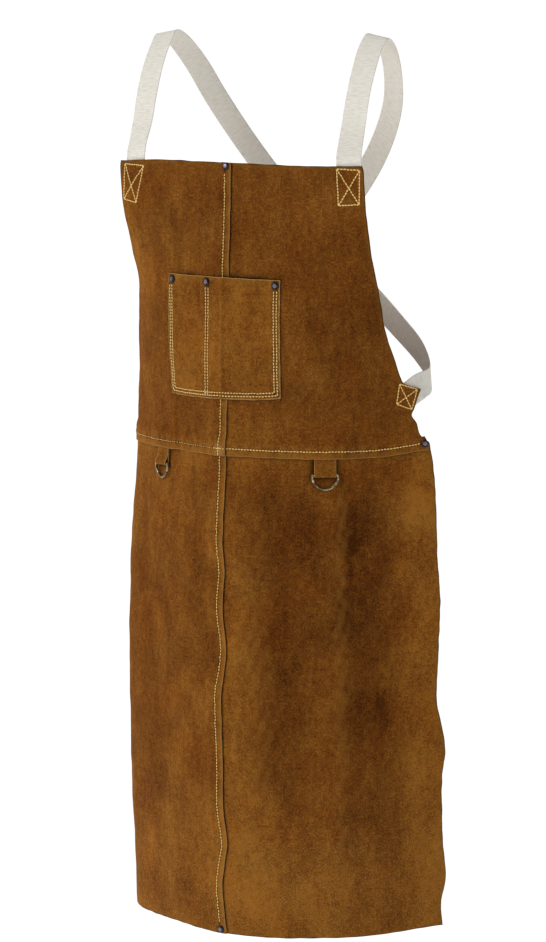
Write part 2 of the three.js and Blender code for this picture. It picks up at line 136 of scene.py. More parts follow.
# The skirt's centre seam is puckered: how far it stands out and wanders sideways
PUCKER = dict(
    h=(430, 521, 563, 613, 673, 739, 844, 893, 943, 968, 1003, 1037, 1067),
    out=(0, 1, -2, 1, -3, 5.5, -2, 3, -4, -3, -1, -0.5, 0),
    aside=(1.7, -1, 1.3, 0.4, 4.1, 0.2, -0.9, 1.7, 4.7, 0.8, -2.9, 0.1, 3.9),
)
PUCKER_BREADTH = 30

# The left strap from its sewn end behind the bib to the far side of the back. The first and the
# last rows lie behind the leather, deep from it; the free rows give the middle and the outside.
# Nearer is how much nearer the seam the right strap lies.
STRAP_TOP = dict(s=(181.5, 181.5, 181.5, 181), nearer=8, h=(60, 27, 0, -12), deep=0)
STRAP_FREE = dict(
    x=(172, 172, 172, 171.5, 172.5, 171, 162, 144, 108, 57, 0, -68, -134, -188, -222),
    y=(-61, -47.5, -31, -13, 3, 24, 60, 93, 116, 129, 134, 131, 118, 96, 66),
    z=(-124, -79, -42, -14, 0, -7, -42, -98, -162, -228, -290, -353, -405, -444, -474),
    nx=(0.15, 0.09, 0.11, 0.12, 0.16, 0.22, 0.28, 0.26, 0.16, 0.08, 0, -0.16, -0.36, -0.6, -0.94),
    ny=(-0.93, -0.92, -0.84, -0.56, -0.04, 0.4, 0.76, 0.92, 0.97, 0.99, 1, 0.98, 0.93, 0.8, 0.32),
    nz=(0.3, 0.36, 0.5, 0.76, 0.9, 0.82, 0.54, 0.3, 0.18, 0.08, 0, 0, 0, 0, 0),
)
STRAP_EAR = dict(s=(-284.5, -272.5, -258.5), nearer=0, h=(315, 321, 328), deep=1.5)
# How much further than CLEARANCE the sewn ends lie behind the leather
STRAP_GAP = 0.6
# The right strap is otherwise the mirror image, and passes outside the left one where they cross
CROSSING_LIFT = 3.6
CROSSING_REACH = 70

# Rivets: name, place, and the layer that their caps sit on
RIVETS = (
    ("rivet_bib_top", 2, 6, "bib"),
    ("rivet_pocket_right", -89.5, 166, "pocket"),
    ("rivet_pocket_divider", -24, 166, "pocket"),
    ("rivet_pocket_left", 80.5, 166, "pocket"),
    ("rivet_waist_right", -288, 396, "bib"),
    ("rivet_waist_left", 288, 396, "bib"),
    ("rivet_hem", 1, 1061, "skirt"),
)

# Finer forms that only this script makes
EDGE_ROUND = 0.9
EDGE_THICK = 0.5
EDGE_CURL = 0.9
RAGGED = 0.15
GAPE = 1.1
YARN_PITCH = 1.1
RIB_PITCH = 2
RIB_HIGH = 0.14
STITCH = dict(pitch=4.3, radius=0.78, stray=0.14, dent=0.5, dent_breadth=1.5, sunk=0.2)
ROW_GAP = 4.3
ROW_INSET = 4.4
# How full the stitches are where it isn't 1
FULLNESS = dict(box=1.22, faint=0.6)
# The ends of the rows of stitches
SEAM_ROW = dict(top=15, foot=1052)
WAIST_ROW = dict(right=-281, faint_to=-8, left=281)
POCKET_ROW_TOP = 173
STRAP_BOX_LEFT = [(165, 3.5), (197, 5.5), (195.8, 52.5), (167.2, 54.3)]
STRAP_BOX_RIGHT = [(-153.5, 8.5), (-191.6, 4.8), (-199.6, 55.2), (-172.8, 60.5)]
EAR_BOX = [(252.5, 306), (278.5, 317.2), (269.5, 344.5), (248, 333.8)]

# The steps of the leather's meshes, how far in from a cut edge they are finer and their step
# there, and where a panel's columns of points start to spread towards its outline
STEP = dict(panel=3.2, pocket=2.8)
FINE_RIM = (1.3, 0.32)
SPREAD_FROM = dict(bib=110, skirt=165)

# How far the painted shade reaches beside each edge, and where the skirt's paler tone towards the hem
# starts and is full
SHADE_REACH = dict(mouth=2.6, pocket=1.4, lap=1.1, waist=1.4, tab=4.2, ring=3)
TOWARDS_HEM = (760, 1020)

# Patches of paler nap, or darker where the strength is below nought, partly painted light and painted
# shade of the folds: the middle of each patch, how far it reaches sideways and down, and how strong it is
NAP_AND_PAINTED_LIGHT_PATCHES = dict(
    s=(-225, -130, 50, -50, 190, 135, 270, 282, -200, -130, 80, 30, -45, 40, -190, 205, 255, -290),
    h=(500, 455, 385, 400, 545, 660, 600, 465, 1040, 880, 985, 800, 620, 200, 130, 225, 760, 680),
    wide=(80, 40, 45, 30, 60, 50, 28, 26, 110, 60, 52, 24, 28, 55, 80, 40, 45, 32),
    tall=(90, 45, 50, 32, 85, 110, 45, 75, 55, 50, 50, 120, 60, 60, 70, 50, 60, 130),
    strength=(1, 1, 0.9, 0.6, -1.1, -0.5, -0.8, 1.7, -1.2)
    + (-0.7, 1.3, 0.8, 0.7, 0.7, 0.8, -0.8, -0.6, -0.6),
)


def ramp(x, start, stop):
    t = np.clip((np.asarray(x, float) - start) / (stop - start), 0, 1)
    return t * t * (3 - 2 * t)


def bump(x, breadth):
    return np.exp(-((np.asarray(x, float) / breadth) ** 2))


def curve_of(table, at, key):
    """A smooth curve through the rows that never overshoots them."""
    x = np.array(table[at], float)
    y = np.array(table[key], float)
    gap = np.diff(x)
    grade = np.diff(y) / gap
    same = grade[:-1] * grade[1:] > 0
    before = np.where(same, grade[:-1], 1)
    after = np.where(same, grade[1:], 1)
    a = 2 * gap[1:] + gap[:-1]
    b = gap[1:] + 2 * gap[:-1]
    inner = np.where(same, (a + b) / (a / before + b / after), 0)
    slope = np.concatenate([grade[:1], inner, grade[-1:]])

    def curve(q):
        q = np.asarray(q, float)
        i = np.clip(np.searchsorted(x, q) - 1, 0, len(gap) - 1)
        t = np.clip((q - x[i]) / gap[i], 0, 1)
        u = 1 - t
        ends = y[i] * u * u * (1 + 2 * t) + y[i + 1] * t * t * (1 + 2 * u)
        return ends + gap[i] * t * u * (slope[i] * u - slope[i + 1] * t)

    return curve


front, at_seam, at_side = (curve_of(SECTIONS, "h", key) for key in ("front", "at_seam", "at_side"))
bib_edge = curve_of(BIB_EDGE, "h", "w")
skirt_edge = curve_of(SKIRT_EDGE, "h", "w")
rise_top, rise_waist, rise_hem = (curve_of(RISE, "s", key) for key in ("top", "waist", "hem"))
pucker_out, pucker_aside = (curve_of(PUCKER, "h", key) for key in ("out", "aside"))
pocket_foot = curve_of(POCKET_FOOT, "s", "h")


def ripple(s, h, seed, length, lean):
    """A fixed sum of waves of about that length with an RMS height of one. Lean is how far they
    turn from upright, in degrees."""
    count = 9
    draw = np.random.default_rng(seed)
    total = 0
    for _ in range(count):
        angle = math.radians(draw.uniform(-lean, lean))
        wave = 2 * math.pi / (length * draw.uniform(0.6, 1.7))
        phase = draw.uniform(0, 2 * math.pi)
        total = total + np.sin(wave * (s * math.cos(angle) + h * math.sin(angle)) + phase)
    return total / math.sqrt(count / 2)


def ragged(along, seed, length):
    """How far a cut edge strays, by the places along it."""
    return RAGGED * ripple(along, 0 * along, seed, length, lean=1)


def dents(s, h):
    """The leather's own unevenness, the same for all layers, so that they stay clear of each other."""
    free = ramp(np.abs(h - WAIST - 10), 40, 110)
    hanging = 0.5 * ripple(s, h, seed=11, length=150, lean=22)
    hanging += 0.3 * ripple(s, h, seed=12, length=70, lean=90)
    fine = 0.09 * ripple(s, h, seed=13, length=26, lean=90)
    along_seam = 0.35 * ripple(h, 0 * h, seed=14, length=15, lean=1) * bump(s, 9)
    along_waist = 0.3 * ripple(s, 0 * s, seed=15, length=15, lean=1) * bump(h - WAIST, 8)
    return free * hanging + fine + along_seam + along_waist


def folds_out(s, h):
    out = pucker_out(h) * bump(s, PUCKER_BREADTH)
    below = np.clip((h - WAIST) / (LENGTH - WAIST), 0, 1)
    fade = 1 - (1 - FADE["share"]) * ramp(h, FADE["start"], FADE["full"])
    for place, foot, breadth, height, start, full in zip(*FOLDS.values()):
        middle = place + (foot - place) * below
        out = out + height * bump(s - middle, breadth) * ramp(h, start, full) * fade
    return out + dents(s, h)


def drape(s, h):
    """How steeply the leather stands out to the left there, and how sharply it bends over a fold."""
    step = 4
    before, here, after = (folds_out(s + d, h) for d in (-step, 0, step))
    return (after - before) / (2 * step), (2 * here - before - after) / step**2


def rise(s, h):
    upper = rise_top(s) + (rise_waist(s) - rise_top(s)) * h / WAIST
    lower = rise_waist(s) + (rise_hem(s) - rise_waist(s)) * (h - WAIST) / (LENGTH - WAIST)
    return np.where(h < WAIST, upper, lower)


def form(s, h, off):
    """The points at s and h, off outwards from the inner face of the leather."""
    s, h, off = np.broadcast_arrays(*(np.asarray(value, float) for value in (s, h, off)))
    along = s + pucker_aside(h) * bump(s, PUCKER_BREADTH)
    q = np.abs(along)
    seam = at_seam(h)
    spread = (at_side(h) - seam) / HALF_WAIST
    side = np.where(along < 0, -1.0, 1.0)
    wrap = np.where(along < 0, WRAP["turn"], 0)

    def turn(arc):
        round_hip = wrap * ramp(arc, WRAP["start"], WRAP["full"])
        return np.radians(seam * arc / np.hypot(arc, RIDGE) + spread * arc + round_hip)

    steps = 24
    x = np.zeros(s.shape)
    y = front(h)
    for k in range(steps):
        angle = turn(q * (k + 0.5) / steps)
        x = x + np.cos(angle) * q / steps
        y = y + np.sin(angle) * q / steps
    angle = turn(q)
    out = off + folds_out(s, h)
    z = -SHOULDER_TO_BIB - h + rise(s, h)
    return np.stack([side * (x + out * np.sin(angle)), y - out * np.cos(angle), z], -1)


def unit(vectors):
    return vectors / np.linalg.norm(vectors, axis=-1, keepdims=True)


def frame_at(s, h):
    """The sideways, outward and upward directions of the leather there."""
    across = unit(form(s + 2, h, 0) - form(s - 2, h, 0))
    up = unit(form(s, h - 2, 0) - form(s, h + 2, 0))
    out = unit(np.cross(across, up))
    return across, out, np.cross(out, across)


# How far each panel is lifted by the layers beneath it
def over_seam(s):
    return ramp(s, -UNDERLAP - SPARE - RAMP, -UNDERLAP - SPARE)


def over_waist(h):
    return ramp(h, WAIST - LAP - SPARE - RAMP, WAIST - LAP - SPARE)


def over_tab(s):
    from_tab = np.abs(s - np.where(np.asarray(s) < 0, RING["right"], RING["left"]))
    return 1 - ramp(from_tab, TAB_SWELL["full"], TAB_SWELL["gone"])


def bib_lift(s, h, right):
    waist = over_waist(h)
    tab = (2 * TAB["thick"] + TAB_SWELL["spare"]) * over_tab(s) * waist
    if right:
        seam = over_seam(s)
        return LAYER * (seam + waist + seam * waist) + tab
    by_lap = 1 - ramp(s, LAP + SPARE, LAP + SPARE + RAMP)
    return LAYER * waist * (1 + by_lap) + tab


def skirt_lift(s, h, right):
    return LAYER * over_seam(s) if right else 0 * s


def pocket_lift(s, h):
    seam = ramp(s, *POCKET_EASE["lap_in"]) * (1 - ramp(s, *POCKET_EASE["lap_out"]))
    from_side = ramp(np.minimum(s - POCKET["right"], POCKET["left"] - s), *POCKET_EASE["side"])
    from_divider = ramp(np.abs(s - POCKET["divider"]), *POCKET_EASE["divider"])
    from_foot = ramp(pocket_foot(s) - h, *POCKET_EASE["foot"])
    return LAYER * (1 + seam) + POCKET["slack"] * from_side * from_divider * from_foot


def face_of(layer, s, h):
    """How far out the outer face of the bib, the skirt or the pocket lies."""
    if layer == "pocket":
        return pocket_lift(s, h) + LEATHER
    lift = bib_lift if layer == "bib" else skirt_lift
    return np.where(s < LAP, lift(s, h, True), lift(s, h, False)) + LEATHER


# Meshes
def make_mesh(name, points, quads, **attributes):
    """A smooth mesh from points in millimetres and quads of point numbers."""
    corners = points[quads]
    volume = np.einsum("ij,ij->", np.cross(corners[:, 0], corners[:, 1]), corners[:, 2])
    volume += np.einsum("ij,ij->", np.cross(corners[:, 0], corners[:, 2]), corners[:, 3])
    if volume < 0:
        quads = quads[:, ::-1]
    mesh = bpy.data.meshes.new(name)
    mesh.vertices.add(len(points))
    mesh.vertices.foreach_set("co", (points * MM).astype(np.float32).ravel())
    mesh.loops.add(quads.size)
    mesh.loops.foreach_set("vertex_index", np.ascontiguousarray(quads, np.int32).ravel())
    mesh.polygons.add(len(quads))
    mesh.polygons.foreach_set("loop_start", np.arange(0, quads.size, 4, dtype=np.int32))
    mesh.polygons.foreach_set("use_smooth", np.ones(len(quads), bool))
    mesh.update(calc_edges=True)
    for key, values in attributes.items():
        kind, field = ("FLOAT_VECTOR", "vector") if values.ndim == 2 else ("FLOAT", "value")
        attribute = mesh.attributes.new(key, kind, "POINT")
        attribute.data.foreach_set(field, values.astype(np.float32).ravel())
    piece = bpy.data.objects.new(name, mesh)
    bpy.context.scene.collection.objects.link(piece)
    return piece


def dress(piece, material, body="apron", stands_for=()):
    piece.data.materials.append(material)
    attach(piece, body)
    if stands_for:
        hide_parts(*stands_for)
    return piece


def spaced(start, stop, step, fine):
    """Places from start to stop, about step apart, and closer at the fine ones: place, reach, step."""
    x = np.linspace(start, stop, 8001)
    density = np.full(x.shape, 1 / step)
    for place, reach, close in fine:
        density = np.where(np.abs(x - place) <= reach, np.maximum(density, 1 / close), density)
    count = np.concatenate([[0], np.cumsum((density[1:] + density[:-1]) / 2 * np.diff(x))])
    return np.interp(np.linspace(0, count[-1], int(round(count[-1])) + 1), count, x)


def slab_quads(rows, columns):
    """A closed slab whose points are two grids, the outer face's first."""
    number = np.arange(rows * columns).reshape(rows, columns)
    outer = np.stack([number[:-1, :-1], number[1:, :-1], number[1:, 1:], number[:-1, 1:]], -1)
    outer = outer.reshape(-1, 4)
    border = np.concatenate([number[0, :-1], number[:-1, -1], number[-1, :0:-1], number[:0:-1, 0]])
    following = np.roll(border, -1)
    far = rows * columns
    rim = np.stack([border, following, following + far, border + far], -1)
    return np.concatenate([outer, outer[:, ::-1] + far, rim])


def tube_quads(rings, sides, endless=False):
    """A tube of rings of points. It runs back into its first ring, or quads close both its ends."""
    number = np.arange(rings * sides).reshape(rings, sides)
    turned = np.roll(number, -1, 1)
    wall = np.stack([number, turned, np.roll(turned, -1, 0), np.roll(number, -1, 0)], -1)
    if endless:
        return wall.reshape(-1, 4)
    low = np.arange(sides // 2 - 1)
    cap = np.stack([low, low + 1, sides - 2 - low, sides - 1 - low], -1)
    return np.concatenate([wall[:-1].reshape(-1, 4), cap[:, ::-1], cap + number[-1, 0]])


def nap_and_painted_light_patches(s, h):
    """How much paler the nap is there, by patches that are partly painted light and painted shade."""
    pale = 0
    for place, depth, wide, tall, strength in zip(*NAP_AND_PAINTED_LIGHT_PATCHES.values()):
        pale = pale + strength * bump(s - place, wide) * bump(h - depth, tall)
    return pale


def leather_slab(name, s, h, lift, inset, dent, hide, painted_shade, pale, cut, cut_reach):
    """A leather piece from grids of s and h. Inset is the way to its nearest cut edge, dent how far
    the stitches press its face in, hide tells the grain of one piece from the next, the painted shade
    is how dark it is painted beside other edges, pale how much paler its nap is, with a painted
    highlight on the pocket's ridge, cut how much its cut edges show, and cut_reach how far in."""
    share = np.clip(inset / EDGE_ROUND, 0, 1)
    thick = LEATHER * (EDGE_THICK + (1 - EDGE_THICK) * np.sqrt(1 - (1 - share) ** 2))
    outer = form(s, h, lift + (LEATHER + thick) / 2 - dent)
    inner = form(s, h, lift + (LEATHER - thick) / 2)
    points = np.concatenate([outer.reshape(-1, 3), inner.reshape(-1, 3)])
    flat = np.stack([s * MM, -h * MM, np.full(s.shape, hide)], -1).reshape(-1, 3)
    slope, bend = drape(s, h)
    # A painted highlight on the bulge where the seam crosses the waist, carried with the pale cut edges.
    seam_at_waist = 0.5 * bump(s - 2, 6) * bump(h - WAIST - 2, 7)
    signs = dict(
        raw_edge_and_highlight=np.maximum(cut * (1 - ramp(inset, 0.1, cut_reach)), seam_at_waist),
        # Paler towards the cut edges, and a painted highlight along sharp fold crests.
        scuff_and_crest_highlight=np.maximum(np.exp(-inset / 4), 0.6 * ramp(bend, 0.006, 0.02)),
        # Paler where a fold turns towards the key light and darker where it turns away: painted light and
        # painted shade, with the nap's pale bands and patches.
        lean=np.clip(slope / 0.3, -1, 1) + pale + nap_and_painted_light_patches(s, h),
        # Paler towards the hem.
        paler_share=ramp(h, *TOWARDS_HEM),
    )
    twice = {key: np.concatenate([value.ravel()] * 2) for key, value in signs.items()}
    # Painted shade in the stitch grooves, on both faces.
    stitch_groove_shade = 0.6 * dent / STITCH["dent"]
    twice["painted_shade"] = np.concatenate([np.maximum(painted_shade, stitch_groove_shade).ravel(), stitch_groove_shade.ravel()])
    return make_mesh(name, points, slab_quads(*s.shape), flat=np.concatenate([flat, flat]), **twice)


def beside(distance, reach):
    """Full at an edge and fading with the distance from it."""
    return np.where(distance > -2, np.exp(-np.maximum(distance, 0) / reach), 0)


def lap_shade(s):
    # Painted shade beside the lap's edge.
    return 0.95 * beside(s - LAP, SHADE_REACH["lap"])


def bib_shade(s, h, right):
    """Painted shade beside the pocket and beside the lap."""
    aside = np.maximum(s - POCKET["left"], POCKET["right"] - s)
    above = np.maximum(POCKET["top"] - h, h - pocket_foot(s))
    away = np.maximum(aside, above)
    mouth = beside(away, SHADE_REACH["mouth"]) * (h < POCKET["top"] + 3)
    sides = beside(away, SHADE_REACH["pocket"]) * np.where(s > POCKET["left"] - 1, 1, 0.35)
    pocket = np.maximum(mouth, sides) * np.where(s > 0, 1, 0.5)
    return pocket if right else np.maximum(pocket, lap_shade(s))


def skirt_shade(s, h, right):
    """Painted shade beneath the bib and beside the tabs and the lap, and a faint painted shadow round each
    ring.
    """
    waist = beside(h - BIB_FOOT, SHADE_REACH["waist"]) * np.where(s > 0, 0.6, 0.35)
    place = RING["right"] if right else RING["left"]
    tab = beside(np.maximum(np.abs(s - place) - TAB["width"] / 2, h - TAB["foot"]), SHADE_REACH["tab"])
    # A faint painted shadow of the ring's bow on the skirt.
    bow = np.hypot(s - place, np.maximum(h - LOOP_DEPTH - RING["leg"], 0)) - RING["bow"]
    ring = 0.25 * bump(bow, SHADE_REACH["ring"]) * (h > LOOP_DEPTH)
    painted_shade = np.maximum(np.maximum(waist, tab), ring)
    return painted_shade if right else np.maximum(painted_shade, lap_shade(s))


def press(*distances):
    """How far rows of stitches press the leather in, by the distances from them."""
    return STITCH["dent"] * np.maximum.reduce([bump(d, STITCH["dent_breadth"]) for d in distances])


def panel(name, top, foot, edge, lift, right, hide):
    """Half of the bib or the skirt. The right half laps over the left one at the centre seam."""
    side = -1 if right else 1
    past_seam = LAP if right else UNDERLAP
    width = edge(foot)
    is_bib = lift is bib_lift
    fine_rows = [(top, *FINE_RIM), (foot, *FINE_RIM), (WAIST, 3, 0.75)]
    fine_columns = [(-past_seam, *FINE_RIM), (width, *FINE_RIM)]
    fine_columns += [(0, 3, 0.75), (LAP, 4, 0.7), (0, 20, 1.8)]
    if is_bib:
        ears = 325
        fine_rows += [(ears, 50, 1.8), (POCKET["top"], 4, 0.9), (POCKET["foot"] - 4, 7, 1.1)]
        fine_columns += [(abs(POCKET["right" if right else "left"]), 4, 0.9)]
    else:
        fine_rows += [(BIB_FOOT, 4, 0.9), (TAB["foot"] + 8, 14, 1.2)]
        fine_columns += [(abs(RING["right" if right else "left"]), 22, 1.3)]
    rows = spaced(top, foot, STEP["panel"], fine_rows)
    columns = spaced(-past_seam, width, STEP["panel"], fine_columns)
    h, c = np.meshgrid(rows, columns, indexing="ij")
    reach = edge(h) + ragged(h, seed=20 + hide, length=30)
    cut = past_seam + ragged(h, seed=30 + hide, length=34)
    band = SPREAD_FROM["bib" if is_bib else "skirt"]
    beyond = band + (c - band) * (reach - band) / (width - band)
    across = np.where(c < 0, c * cut / past_seam, np.where(c > band, beyond, c))
    inset = np.minimum(np.minimum(across + cut, reach - across), np.minimum(h - top, foot - h))
    s = side * across
    level = 1 - ramp(np.minimum(h - top, foot - h), 0, 9)
    h = h + ragged(s, seed=40 + hide, length=40) * level
    dent = press(s, h - WAIST) if right or is_bib else press(s)
    curl = EDGE_CURL * ramp(s, LAP - 6, LAP) if right else 0
    clear = np.maximum(ramp(POCKET["top"] - h, 4, 20), ramp(h - POCKET["foot"], 4, 20))
    end = h - top if is_bib else foot - h
    # Painted shade: a dark outline along the outer side edges and along the bib's top or the skirt's hem.
    edge_shade = 0.8 * (1 - ramp(np.minimum(reach - across, end), 0.4, 1.5))
    painted_shade = bib_shade if is_bib else skirt_shade
    painted_shade = np.maximum(painted_shade(s, h, right), edge_shade)
    pale_cut = 0.45 * (edge_shade == 0)
    rubbed = 0.7 * bump(h - WAIST - 5, 13)
    if right:
        rubbed = np.maximum(rubbed, ramp(s, 1, 7))
    height = lift(s, h, right) + curl * clear
    looks = dict(hide=hide, painted_shade=painted_shade, pale=rubbed, cut=pale_cut, cut_reach=1.4)
    return leather_slab(name, s, h, height, inset, dent, **looks)


# Materials
def add(tree, kind, inputs=None, **settings):
    """A new node. An input is a plain value, or an output to link to it."""
    made = tree.nodes.new(kind)
    for key, value in settings.items():
        setattr(made, key, value)
    for key, value in (inputs or {}).items():
        if isinstance(value, bpy.types.NodeSocket):
            tree.links.new(value, made.inputs[key])
        else:
            made.inputs[key].default_value = value
    return made


def maths(tree, operation, a, b=0, c=0):
    return add(tree, "ShaderNodeMath", {0: a, 1: b, 2: c}, operation=operation).outputs[0]


def noise(tree, vector, scale, detail, stretch=(1, 1, 1), roughness=0.55, distortion=0):
    placed = add(tree, "ShaderNodeMapping", {"Vector": vector, "Scale": stretch})
    inputs = {"Vector": placed.outputs[0], "Scale": scale, "Detail": detail}
    inputs |= {"Roughness": roughness, "Distortion": distortion}
    return add(tree, "ShaderNodeTexNoise", inputs).outputs["Fac"]


def shades(tree, value, stops):
    """A colour ramp: place and linear colour of each stop."""
    made = add(tree, "ShaderNodeValToRGB", {"Fac": value})
    elements = made.color_ramp.elements
    while len(elements) < len(stops):
        elements.new(1)
    for element, (place, colour) in zip(elements, stops):
        element.position = place
        element.color = (*colour, 1)
    return made.outputs["Color"]


def mixed(tree, factor, a, b):
    """A mix of two colours, each an output or plain red, green and blue."""
    a, b = (value if isinstance(value, bpy.types.NodeSocket) else (*value, 1) for value in (a, b))
    return add(tree, "ShaderNodeMix", {0: factor, 6: a, 7: b}, data_type="RGBA").outputs[2]


def reading(tree, name, output="Fac"):
    return add(tree, "ShaderNodeAttribute", attribute_name=name).outputs[output]


def finish_of(name, **sockets):
    material = bpy.data.materials.new(name)
    material.use_nodes = True
    shader = material.node_tree.nodes["Principled BSDF"]
    for key, value in sockets.items():
        shader.inputs[key.replace("_", " ")].default_value = value
    return material, material.node_tree, shader


def relief(tree, shader, height, strength, distance):
    made = add(tree, "ShaderNodeBump", {"Height": height, "Strength": strength, "Distance": distance})
    tree.links.new(made.outputs["Normal"], shader.inputs["Normal"])


def suede_finish():
    """Brown split leather: a short nap brushed in streaks, paler where it is cut or rubbed, with painted
    light and painted shade on its folds and painted shade beside other pieces.
    """
    material, tree, shader = finish_of(
        "suede",
        Sheen_Weight=0.05,
        Sheen_Roughness=0.4,
        Sheen_Tint=(0.9, 0.42, 0.1, 1),
        Specular_IOR_Level=0.04,
        Diffuse_Roughness=1.0,
    )
    flat = reading(tree, "flat", "Vector")
    broad = noise(tree, flat, 9, 2)
    brushed = noise(tree, flat, 34, 3, (1, 0.4, 1))
    streaks = noise(tree, flat, 170, 2, (1, 0.2, 1))
    mottled = noise(tree, flat, 130, 4, (1, 0.85, 1), 0.6)
    speckled = noise(tree, flat, 430, 3, (1, 0.8, 1), 0.7)
    nap = noise(tree, flat, 1300, 2, (1, 0.6, 1))
    weights = ((broad, 0.5), (brushed, 0.5), (streaks, 0.22))
    weights += ((mottled, 0.6), (speckled, 1.25), (nap, 0.8))
    tone = 0.5 - sum(weight for layer, weight in weights) / 2
    for layer, weight in weights:
        tone = maths(tree, "MULTIPLY_ADD", layer, weight, tone)
    # How far towards the hem: paler there, with pale specks.
    paler_share = reading(tree, "paler_share")
    swirled = noise(tree, flat, 48, 3, (1, 0.6, 1), distortion=1.4)
    uneven = maths(tree, "MULTIPLY_ADD", swirled, 2.6, -0.3)
    # Painted light and painted shade of the folds, with the nap's paler and darker patches, broken up by
    # swirls.
    lean = maths(tree, "MULTIPLY", reading(tree, "lean"), uneven)
    for layer, weight in ((lean, 0.14), (paler_share, 0.17)):
        tone = maths(tree, "MULTIPLY_ADD", layer, weight, tone)
    brown_stops = (
        (0.1, (0.067, 0.0184, 0.0027)),
        (0.5, (0.195, 0.066, 0.009)),
        (0.9, (0.368, 0.155, 0.022)),
    )
    redder_stops = (
        (0.1, (0.069, 0.0155, 0.002)),
        (0.5, (0.2, 0.056, 0.0062)),
        (0.9, (0.375, 0.134, 0.0155)),
    )
    colour = shades(tree, tone, brown_stops)
    redder = shades(tree, tone, redder_stops)
    drift = add(tree, "ShaderNodeMapRange", {0: noise(tree, flat, 15, 3), 1: 0.38, 2: 0.66, 4: 0.6})
    colour = mixed(tree, drift.outputs[0], colour, redder)
    # Paler at scuffed edges, and a painted highlight along sharp fold crests.
    rubbed = maths(tree, "MULTIPLY", reading(tree, "scuff_and_crest_highlight"), 0.45)
    colour = mixed(tree, rubbed, colour, (0.33, 0.15, 0.024))
    speck = maths(tree, "GREATER_THAN", noise(tree, flat, 520, 1), 0.66)
    speck = maths(tree, "MULTIPLY", speck, maths(tree, "MULTIPLY", paler_share, 0.6))
    colour = mixed(tree, speck, colour, (0.45, 0.3, 0.13))
    # Painted shade: near-black brown beside other pieces, in the stitch grooves and along the outer edges.
    painted_shade = maths(tree, "MULTIPLY", reading(tree, "painted_shade"), 0.95)
    colour = mixed(tree, painted_shade, colour, (0.016, 0.005, 0.0012))
    # Pale cut edges, and the painted highlight where the seam crosses the waist.
    colour = mixed(tree, reading(tree, "raw_edge_and_highlight"), colour, (0.52, 0.32, 0.13))
    tree.links.new(colour, shader.inputs["Base Color"])
    rough = maths(tree, "MULTIPLY_ADD", mottled, 0.25, 0.78)
    tree.links.new(rough, shader.inputs["Roughness"])
    height = maths(tree, "MULTIPLY_ADD", nap, 0.5, speckled)
    height = maths(tree, "MULTIPLY_ADD", mottled, 1.2, height)
    relief(tree, shader, height, 0.6, 0.0006)
    return material


def webbing_finish():
    """Cream cotton webbing: cross ribs with fine lengthwise yarns."""
    material, tree, shader = finish_of(
        "cotton_webbing",
        Roughness=0.92,
        Sheen_Weight=0.25,
        Sheen_Roughness=0.5,
        Specular_IOR_Level=0.2,
    )
    flat = reading(tree, "flat", "Vector")
    apart = add(tree, "ShaderNodeSeparateXYZ", {0: flat})
    waves = []
    for place, pitch in zip(apart.outputs, (YARN_PITCH * MM, RIB_PITCH * MM)):
        waves.append(maths(tree, "SINE", maths(tree, "MULTIPLY", place, 2 * math.pi / pitch)))
    weave = maths(tree, "MULTIPLY", *waves)
    slub = noise(tree, flat, 240, 2, (0.4, 2, 1), 0.4)
    tone = maths(tree, "MULTIPLY_ADD", weave, 0.12, slub)
    stops = (
        (0.15, (0.7, 0.65, 0.55)),
        (0.5, (0.83, 0.795, 0.71)),
        (0.85, (0.9, 0.875, 0.81)),
    )
    colour = shades(tree, tone, stops)
    tree.links.new(colour, shader.inputs["Base Color"])
    relief(tree, shader, maths(tree, "ADD", weave, slub), 0.5, 0.00025)
    return material


def thread_finish():
    """Pale yellow thread, a little fuzzy."""
    material, tree, shader = finish_of(
        "thread",
        Roughness=0.6,
        Sheen_Weight=0.2,
        Specular_IOR_Level=0.35,
    )
    place = add(tree, "ShaderNodeTexCoord").outputs["Object"]
    fuzz = noise(tree, place, 900, 2)
    stops = (
        (0.3, (0.6, 0.36, 0.075)),
        (0.52, (0.85, 0.56, 0.16)),
        (0.75, (0.95, 0.75, 0.36)),
    )
    colour = shades(tree, fuzz, stops)
    tree.links.new(colour, shader.inputs["Base Color"])
    relief(tree, shader, fuzz, 0.5, 0.0002)
    return material


def metal_finish(name, scales, stops, rough, strength, rubbed=None):
    """Metal in blotches with a fine grain. Rubbed is the colour of a piece's middle."""
    material, tree, shader = finish_of(name, Metallic=1.0)
    place = add(tree, "ShaderNodeTexCoord").outputs["Object"]
    blotch = noise(tree, place, scales[0], 4)
    fine = noise(tree, place, scales[1], 3)
    colour = shades(tree, blotch, stops)
    if rubbed:
        paler_share = maths(tree, "MULTIPLY", reading(tree, "middle"), maths(tree, "ADD", blotch, 0.25))
        colour = mixed(tree, paler_share, colour, rubbed)
    tree.links.new(colour, shader.inputs["Base Color"])
    tree.links.new(maths(tree, "MULTIPLY_ADD", fine, *rough), shader.inputs["Roughness"])
    relief(tree, shader, fine, strength, 0.0001)
    return material


def brass_finish():
    """Tarnished brass in dark and bright blotches."""
    stops = (
        (0.3, (0.03, 0.021, 0.011)),
        (0.5, (0.2, 0.15, 0.08)),
        (0.68, (0.55, 0.45, 0.28)),
    )
    return metal_finish("aged_brass", (220, 1400), stops, (0.25, 0.14), 0.25)


def rivet_finish():
    """Dark oxidised metal with a rubbed middle."""
    stops = (
        (0.3, (0.018, 0.016, 0.02)),
        (0.55, (0.04, 0.036, 0.045)),
        (0.75, (0.1, 0.09, 0.11)),
    )
    return metal_finish("dark_rivet", (520, 2200), stops, (0.3, 0.25), 0.3, (0.26, 0.245, 0.3))


suede = suede_finish()
webbing = webbing_finish()
thread = thread_finish()
aged_brass = brass_finish()
dark_rivet = rivet_finish()


